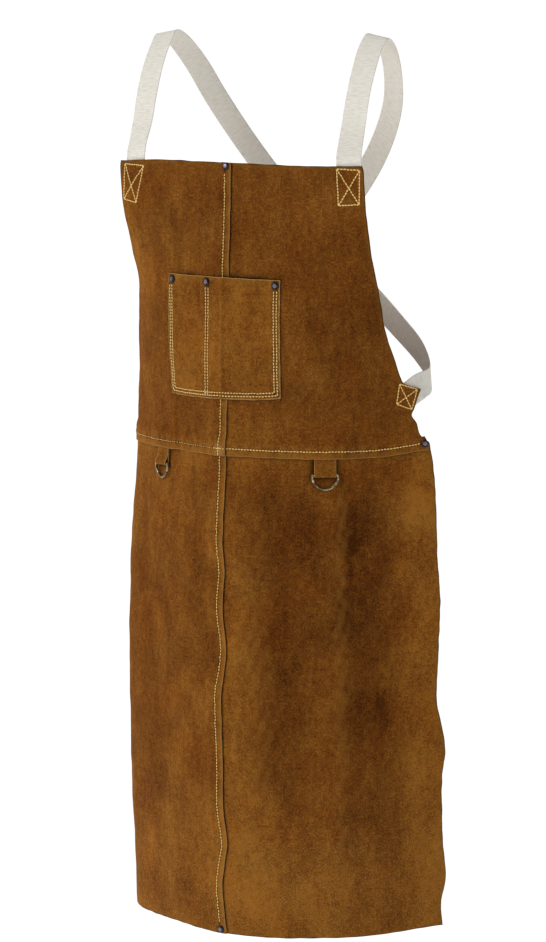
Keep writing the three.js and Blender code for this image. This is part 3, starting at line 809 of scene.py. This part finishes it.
# Leather panels
PANELS = (
    ("bib_right", 0, BIB_FOOT, bib_edge, bib_lift, True, 1),
    ("bib_left", 0, BIB_FOOT, bib_edge, bib_lift, False, 2),
    ("skirt_right", SKIRT_TOP, LENGTH, skirt_edge, skirt_lift, True, 3),
    ("skirt_left", SKIRT_TOP, LENGTH, skirt_edge, skirt_lift, False, 4),
)
for name, *shape in PANELS:
    dress(panel(name + "_leather", *shape), suede, stands_for=[name])


# The pocket, with double rows of stitches at its sides, foot and divider
POCKET_SIDE_ROWS = (ROW_INSET, ROW_INSET + ROW_GAP)
DIVIDER_ROWS = (POCKET["divider"] - ROW_GAP / 2, POCKET["divider"] + ROW_GAP / 2)


def pocket_slab():
    left, right, top, foot = (POCKET[key] for key in ("left", "right", "top", "foot"))
    upright = [right + d for d in POCKET_SIDE_ROWS] + [left - d for d in POCKET_SIDE_ROWS]
    upright += DIVIDER_ROWS
    level = [foot - d for d in POCKET_SIDE_ROWS]
    fine_rows = [(top, *FINE_RIM), (foot, *FINE_RIM)] + [(place, 2, 0.7) for place in level]
    fine_columns = [(right, *FINE_RIM), (left, *FINE_RIM)] + [(place, 2, 0.7) for place in upright]
    rows = spaced(top, foot, STEP["pocket"], fine_rows)
    columns = spaced(right, left, STEP["pocket"], fine_columns)
    row, s = np.meshgrid(rows, columns, indexing="ij")
    h = top + (row - top) * (pocket_foot(s) - top) / (foot - top)
    from_side = np.minimum(s - right, left - s)
    from_end = np.minimum(row - top, foot - row)
    inset = np.minimum(from_side, from_end)
    dent = press(*[s - place for place in upright], *[row - place for place in level])
    s_cut = s + ragged(h, seed=51, length=34) * (1 - ramp(from_side, 0, 8))
    h_cut = h + ragged(s, seed=52, length=40) * (1 - ramp(from_end, 0, 8))
    gape = GAPE * ramp(from_side, 8, 30) * ramp(np.abs(s - POCKET["divider"]), 6, 24)
    over_lap = 0.7 * bump(s - 2, 4)
    # The pocket's own paler tone, with a painted highlight along the ridge over the seam and painted shade
    # just beside it.
    nap = 0.9 + 0.9 * bump(s - 0.5, 2.2) - 0.5 * bump(s - 6, 3)
    lift = pocket_lift(s, h) + gape * (1 - ramp(h - top, 0, 45)) + over_lap
    frayed = 1.5 + 0.5 * ripple(s, h, seed=53, length=12, lean=90)
    cut_reach = np.where(row < top + 6, 1.2, np.maximum(frayed, 0.6))
    looks = dict(hide=5, painted_shade=0 * s, pale=nap, cut=0.95, cut_reach=cut_reach)
    return leather_slab("pocket_leather", s_cut, h_cut, lift, inset, dent, **looks)


dress(pocket_slab(), suede, stands_for=["pocket"])


# Stitches
def strap_depth(s, h):
    """How far behind the leather the inner face of a strap's sewn end lies, or nought beside it."""
    half = WEBBING["width"] / 2
    nearer = np.where(s < 0, STRAP_TOP["nearer"], 0)
    top = (np.abs(np.abs(s) + nearer - STRAP_TOP["s"][0]) < half) & (h < STRAP_TOP["h"][0])
    start = np.array([-STRAP_EAR["s"][0], STRAP_EAR["h"][0]])
    way = np.array([-STRAP_EAR["s"][-1], STRAP_EAR["h"][-1]]) - start
    length = np.hypot(*way)
    along = ((np.abs(s) - start[0]) * way[0] + (h - start[1]) * way[1]) / length
    aside = ((np.abs(s) - start[0]) * way[1] - (h - start[1]) * way[0]) / length
    ear = (along < length) & (np.abs(aside) < half) & (h > STRAP_TOP["h"][0])
    face = CLEARANCE + STRAP_GAP + WEBBING["thick"] - STITCH["sunk"]
    return np.where(top, face, np.where(ear, face + STRAP_EAR["deep"], 0))


def sewn(runs):
    """Points and quads of rows of stitches. A run is its corners in s and h, its layer, whether it
    shows on the inside, and how full its stitches are."""
    share = np.array([-0.36, -0.22, 0, 0.22, 0.36])
    arch = np.array([-0.6, 0.2, 0.42, 0.2, -0.6])
    stout = STITCH["radius"] * np.array([0.75, 1, 1, 1, 0.75])
    sides = 6
    around = np.arange(sides) * 2 * math.pi / sides
    draw = np.random.default_rng(60)
    points = []
    for corners, layer, inside, fullness in runs:
        for start, stop in zip(corners[:-1], corners[1:]):
            way = np.subtract(stop, start)
            count = max(1, int(round(np.hypot(*way) / STITCH["pitch"])))
            t = (np.arange(count)[:, None] + 0.5 + fullness * share) / count
            stray = draw.normal(0, STITCH["stray"], (count, 1)) / np.hypot(*way)
            s = start[0] + way[0] * t + stray * way[1]
            h = start[1] + way[1] * t - stray * way[0]
            face = -strap_depth(s, h) - arch if inside else face_of(layer, s, h) - STITCH["dent"] + arch
            middle = form(s, h, face)
            out = unit(form(s, h, face + 1) - middle)
            along = unit(np.gradient(middle, axis=1))
            aside = unit(np.cross(along, out))
            above = np.cross(aside, along)
            ring = np.cos(around)[:, None] * aside[:, :, None]
            ring = ring + np.sin(around)[:, None] * above[:, :, None]
            points.append((middle[:, :, None] + fullness * stout[:, None, None] * ring).reshape(-1, 3))
    points = np.concatenate(points)
    rings = len(share)
    first = np.arange(0, len(points), rings * sides)
    return points, (first[:, None, None] + tube_quads(rings, sides)).reshape(-1, 4)


def both_faces(corners, layer, fullness=1):
    return [(corners, layer, False, fullness), (corners, layer, True, fullness)]


def box_and_cross(corners, layer):
    """A sewn box with its two diagonals."""
    a, b, c, d = corners
    full = FULLNESS["box"]
    return both_faces([a, b, c, d, a, c], layer, full) + both_faces([b, d], layer, full)


seam_runs = both_faces([(0, SEAM_ROW["top"]), (0, BIB_FOOT)], "bib")
seam_runs += both_faces([(0, BIB_FOOT), (0, SEAM_ROW["foot"])], "skirt")
waist_ends = [(s, WAIST) for s in WAIST_ROW.values()]
waist_runs = both_faces(waist_ends[:2], "bib", FULLNESS["faint"]) + both_faces(waist_ends[1:], "bib")
box_runs = []
for box in (STRAP_BOX_LEFT, STRAP_BOX_RIGHT, EAR_BOX, [(-s, h) for s, h in EAR_BOX]):
    box_runs += box_and_cross(box, "bib")
pocket_runs = []
for inset in POCKET_SIDE_ROWS:
    across = np.linspace(POCKET["right"] + inset, POCKET["left"] - inset, 9)
    along_foot = [(s, float(pocket_foot(s)) - inset) for s in across]
    ends = [(across[0], POCKET_ROW_TOP), (across[-1], POCKET_ROW_TOP)]
    pocket_runs += both_faces([ends[0], *along_foot, ends[1]], "pocket")
for place in DIVIDER_ROWS:
    foot = float(pocket_foot(place)) - ROW_INSET
    pocket_runs += both_faces([(place, POCKET_ROW_TOP), (place, foot)], "pocket")
SEWING = dict(seam=seam_runs, waist=waist_runs, strap_ends=box_runs, pocket=pocket_runs)
for name, runs in SEWING.items():
    dress(make_mesh(f"stitches_{name}", *sewn(runs)), thread)


# Webbing straps
def through(points, count, centripetal):
    """A Catmull-Rom curve through the points, at count even steps of its parameter."""
    padded = np.concatenate([[2 * points[0] - points[1]], points, [2 * points[-1] - points[-2]]])
    place = np.linspace(0, len(points) - 1, count)
    i = np.minimum(place.astype(int), len(points) - 2)
    t = (place - i)[:, None]
    p0, p1, p2, p3 = (padded[i + k] for k in range(4))
    if centripetal:
        chords = (np.linalg.norm(b - a, axis=1) for a, b in ((p0, p1), (p1, p2), (p2, p3)))
        d0, d1, d2 = (np.sqrt(chord)[:, None] for chord in chords)
        m1 = d1 * ((p1 - p0) / d0 - (p2 - p0) / (d0 + d1) + (p2 - p1) / d1)
        m2 = d1 * ((p2 - p1) / d1 - (p3 - p1) / (d1 + d2) + (p3 - p2) / d2)
    else:
        m1 = (p2 - p0) / 2
        m2 = (p3 - p1) / 2
    return p1 + m1 * t + (3 * (p2 - p1) - 2 * m1 - m2) * t**2 + (2 * (p1 - p2) + m1 + m2) * t**3


def strap_line(right):
    """The middle line and the outward directions along the strap."""
    mirror = -1 if right else 1
    behind = -CLEARANCE - STRAP_GAP - WEBBING["thick"] / 2
    middles = []
    outs = []
    for table in (STRAP_TOP, STRAP_FREE, STRAP_EAR):
        if table is STRAP_FREE:
            x, y, z, nx, ny, nz = (np.array(column, float) for column in table.values())
            lift = CROSSING_LIFT * ramp(CROSSING_REACH - np.abs(x), 0, CROSSING_REACH) if right else 0
            middles.append(np.stack([mirror * x, y + lift, z], -1))
            outs.append(unit(np.stack([mirror * nx, ny, nz], -1)))
        else:
            s, nearer, h, deep = (np.array(column, float) for column in table.values())
            s = nearer - s if right else s
            middles.append(form(s, h, behind - deep))
            outs.append(frame_at(s, h)[1])
    return np.concatenate(middles), np.concatenate(outs)


def strap_band(name, right):
    """A woven band with a rounded selvedge and cross ribs."""
    middles, outs = strap_line(right)
    rough_length = np.linalg.norm(np.diff(through(middles, 400, True), axis=0), axis=1).sum()
    count = int(4 * rough_length / RIB_PITCH)
    middle = through(middles, count, True)
    along = unit(np.gradient(middle, axis=0))
    out = through(outs, count, False)
    out = unit(out - np.sum(out * along, 1, keepdims=True) * along)
    across = np.cross(along, out)
    length = np.concatenate([[0], np.cumsum(np.linalg.norm(np.diff(middle, axis=0), axis=1))])
    half = WEBBING["width"] / 2
    thick = WEBBING["thick"] / 2 - RIB_HIGH
    share = np.array([-1, -0.985, -0.94, -0.86, -0.6, -0.3, 0, 0.3, 0.6, 0.86, 0.94, 0.985, 1])
    high = np.array([0.12, 0.7, 1, 0.92, 0.86, 0.86, 0.86, 0.86, 0.86, 0.92, 1, 0.7, 0.12])
    u = np.concatenate([share, share[::-1]]) * half
    v = np.concatenate([high, -high[::-1]]) * thick
    rib = RIB_HIGH * np.sin(2 * math.pi * length / RIB_PITCH)
    ribbed = np.sign(v) * (np.abs(v) > 0.5)
    height = v[None] + rib[:, None] * ribbed[None]
    points = middle[:, None] + u[None, :, None] * across[:, None] + height[..., None] * out[:, None]
    flat = np.stack(np.broadcast_arrays(u[None], length[:, None], 0.0), -1)
    return make_mesh(name, points.reshape(-1, 3), tube_quads(*height.shape), flat=flat.reshape(-1, 3) * MM)


for side in ("right", "left"):
    band = strap_band(f"strap_{side}_webbing", side == "right")
    dress(band, webbing, stands_for=[f"strap_{side}"])


# D-rings in their folded tabs
def ring_wire(name, joint):
    """The bent wire: a straight bar on the joint's axis, two short legs and a bow."""
    middle = np.array(joint["pos_m"]) / MM
    bar = unit(np.array(joint["axis"], float))
    down = np.array([0, 0, -1.0])
    half = RING["half_bar"]
    corner = 1.9
    angle = np.radians(np.linspace(0, 180, 61))
    bow = np.stack([half * np.cos(angle), RING["leg"] + RING["bow"] * np.sin(angle)], -1)
    turn = np.radians(np.linspace(90, 0, 9)[:-1])
    bend = np.stack([half - corner + corner * np.cos(turn), corner - corner * np.sin(turn)], -1)
    straight = np.stack([np.linspace(-half + corner, half - corner, 25)[:-1], np.zeros(24)], -1)
    outline = np.concatenate([straight, bend, bow, (bend * (-1, 1))[::-1]])
    path = middle + outline[:, :1] * bar + outline[:, 1:] * down
    along = unit(np.roll(path, -1, 0) - np.roll(path, 1, 0))
    aside = np.cross(bar, down)
    out = unit(np.cross(along, aside))
    sides = 16
    around = np.arange(sides) * 2 * math.pi / sides
    wire = RING["wire"] * np.stack([np.cos(around), np.sin(around)], -1)
    points = path[:, None] + wire[None, :, :1] * out[:, None] + wire[None, :, 1:] * aside
    return make_mesh(name, points.reshape(-1, 3), tube_quads(len(path), sides, endless=True))


def tab_strip(name, s, hide, joint):
    """A strip of leather folded round the ring's bar and sewn up into the waist seam."""
    across = unit(np.array(joint["axis"], float))
    across = across * np.sign(across[0])
    upward = form(s, TAB["top"], 0) - form(s, LOOP_DEPTH, 0)
    out = unit(np.cross(across, upward))
    up = np.cross(out, across)
    middle = np.array(joint["pos_m"]) / MM
    high = LOOP_DEPTH - TAB["top"]
    radius = LOOP - TAB["thick"] / 2
    back = -LOOP + TAB["thick"] / 2
    face = back + TAB["thick"] + 0.02
    neck = 13
    round_bar = np.radians(np.linspace(180, 372, 24))
    loop = radius * np.stack([np.cos(round_bar), np.sin(round_bar)], -1)
    down_back = np.stack([np.full(14, back), np.linspace(high, 1, 14)], -1)
    t = np.linspace(0.12, 1, 8)[:, None]
    closing = np.concatenate([radius + (face - radius) * ramp(t, 0, 1), 0.8 + 10.5 * t], 1)
    up_face = np.stack([np.full(8, face), np.linspace(neck, high, 8)], -1)
    line = np.concatenate([down_back, loop, closing, up_face])
    along = unit(np.gradient(line, axis=0))
    normal = np.stack([along[:, 1], -along[:, 0]], -1)
    half = TAB["width"] / 2
    share = np.array([-1, -0.985, -0.95, -0.7, -0.35, 0, 0.35, 0.7, 0.95, 0.985, 1])
    high_share = np.array([0.45, 0.85, 1, 1, 1, 1, 1, 1, 1, 0.85, 0.45])
    grids = []
    for sign in (1, -1):
        lift = sign * TAB["thick"] / 2 * high_share
        plane = line[:, None] + lift[None, :, None] * normal[:, None]
        sideways = (half * share)[None, :, None] * across
        grids.append(middle + plane[..., :1] * out + plane[..., 1:] * up + sideways)
    points = np.concatenate([grid.reshape(-1, 3) for grid in grids])
    length = np.cumsum(np.linalg.norm(np.diff(line, axis=0, prepend=line[:1]), axis=1))
    flat = np.stack(np.broadcast_arrays(half * share[None], length[:, None], hide / MM), -1)
    edge = np.broadcast_to(half * (1 - np.abs(share)), (len(line), len(share)))
    signs = dict(
        flat=np.tile(flat.reshape(-1, 3) * MM, (2, 1)),
        raw_edge_and_highlight=np.tile(0.6 * (1 - ramp(edge, 0.1, 0.9)).ravel(), 2),
        scuff_and_crest_highlight=np.tile(np.exp(-edge / 3).ravel(), 2),
        lean=np.full(len(points), 0.7),
    )
    return make_mesh(name, points, slab_quads(len(line), len(share)), **signs)


swings = {joint["child"]: joint for joint in frame["joints"]}
for side, hide in (("right", 6), ("left", 7)):
    swing = swings[f"ring_{side}"]
    strip = tab_strip(f"ring_tab_{side}_leather", RING[side], hide, swing)
    dress(strip, suede, stands_for=[f"ring_tab_{side}"])
    wire = ring_wire(f"d_ring_{side}_wire", swing)
    dress(wire, aged_brass, f"ring_{side}", [f"d_ring_{side}"])


# Rivets: a domed cap with a grooved middle, a shank and a washer on the inside
def rivet(name, s, h, layer):
    across, out, up = frame_at(s, h)
    base = form(s, h, 0)
    face = float(face_of(layer, s, h)) + RIVET["cap_gap"]
    cap, high, shank = RIVET["cap"], RIVET["cap_high"], RIVET["shank"]
    washer, washer_high = RIVET["washer"], RIVET["washer_high"]
    tip = 0.05
    profile = np.array(
        [
            (tip, -washer_high - 0.1),
            (shank, -washer_high - 0.1),
            (shank * 1.1, -washer_high + 0.25),
            (washer * 0.86, -washer_high + 0.05),
            (washer, -washer_high + 0.35),
            (washer, -0.25),
            (washer * 0.94, -0.05),
            (shank, -0.05),
            (shank, face),
            *((cap * out_share, face + high * up_share) for out_share, up_share in zip(*DOME.values())),
            (tip, face + high),
        ]
    )
    sides = 40
    turn = np.arange(sides) * 2 * math.pi / sides
    spin = np.cos(turn)[:, None] * across + np.sin(turn)[:, None] * up
    points = base + profile[:, None, :1] * spin[None] + profile[:, None, 1:] * out
    middle = np.repeat(1 - ramp(profile[:, 0], 0.46 * cap, 0.6 * cap), sides)
    return make_mesh(name, points.reshape(-1, 3), tube_quads(len(profile), sides), middle=middle)


for name, *place in RIVETS:
    dress(rivet(name + "_cap", *place), dark_rivet, stands_for=[name])


# What each piece of leather was cut to
def flat_area(edge, top, foot, past_seam):
    h = np.linspace(top, foot, 400)
    return float(np.mean(edge(h) + past_seam) * (foot - top)) * MM * MM


for name, top, foot, edge, lift, right, hide in PANELS:
    past_seam = LAP if right else UNDERLAP
    widest = float(edge(np.linspace(top, foot, 400)).max()) + past_seam
    flat_area(edge, top, foot, past_seam)


# Stage, light and camera, in metres. Light comes from degrees to the right of the apron's front
# and degrees up. LOOK_AT lies aside in the picture, and back in +Y.
FLOOR = -1.45
FLOOR_GLOW = 0.6
KEY = dict(towards=(38, 35), breadth=30, strength=1.7)
FILL = dict(towards=(-75, 20), breadth=50, strength=0.3)
SKY = 0.22
AZIMUTH = math.radians(31.8)
ELEVATION = math.radians(6.3)
DISTANCE = 8.0
LOOK_AT = dict(aside=-0.0071, back=0.022, height=-0.6134)
FOCAL_PX = 5687.7
IMAGE_HIGH = 942

to_camera = Vector((math.sin(AZIMUTH), -math.cos(AZIMUTH), math.tan(ELEVATION))).normalized()
to_right = Vector((math.cos(AZIMUTH), math.sin(AZIMUTH), 0))
target = LOOK_AT["aside"] * to_right + Vector((0, LOOK_AT["back"], LOOK_AT["height"]))


def floor_plane():
    reach = 120
    mesh = bpy.data.meshes.new("floor")
    corners = [(x * reach, y * reach, FLOOR) for x, y in ((-1, -1), (1, -1), (1, 1), (-1, 1))]
    mesh.from_pydata(corners, [], [(0, 1, 2, 3)])
    floor = bpy.data.objects.new("floor", mesh)
    bpy.context.scene.collection.objects.link(floor)
    material, *_ = finish_of(
        "pale_floor",
        Base_Color=(0.85, 0.85, 0.85, 1),
        Roughness=0.9,
        Emission_Color=(1, 1, 1, 1),
        Emission_Strength=FLOOR_GLOW,
    )
    mesh.materials.append(material)


def soft_sun(name, towards, breadth, strength):
    """Even light from one direction, softened over the degrees of its breadth."""
    right, up = (math.radians(angle) for angle in towards)
    lamp = bpy.data.lights.new(name, "SUN")
    lamp.angle = math.radians(breadth)
    lamp.energy = strength
    light = bpy.data.objects.new(name, lamp)
    level = math.cos(up)
    source = Vector((-math.sin(right) * level, -math.cos(right) * level, math.sin(up)))
    light.rotation_mode = "QUATERNION"
    light.rotation_quaternion = source.to_track_quat("Z", "Y")
    bpy.context.scene.collection.objects.link(light)


floor_plane()
soft_sun("key", **KEY)
soft_sun("fill", **FILL)

world = bpy.data.worlds.new("studio")
world.use_nodes = True
sky = world.node_tree.nodes["Background"]
sky.inputs["Color"].default_value = (1, 1, 1, 1)
sky.inputs["Strength"].default_value = SKY
scene = bpy.context.scene
scene.world = world
scene.view_settings.view_transform = "Standard"

lens = bpy.data.cameras.new("camera")
lens.sensor_width = 36
lens.lens = lens.sensor_width * FOCAL_PX / IMAGE_HIGH
lens.clip_start = 0.1
lens.clip_end = 500
camera = bpy.data.objects.new("camera", lens)
camera.location = target + to_camera * DISTANCE
camera.rotation_mode = "QUATERNION"
camera.rotation_quaternion = to_camera.to_track_quat("Z", "Y")
scene.collection.objects.link(camera)
scene.camera = camera

bpy.context.view_layer.update()
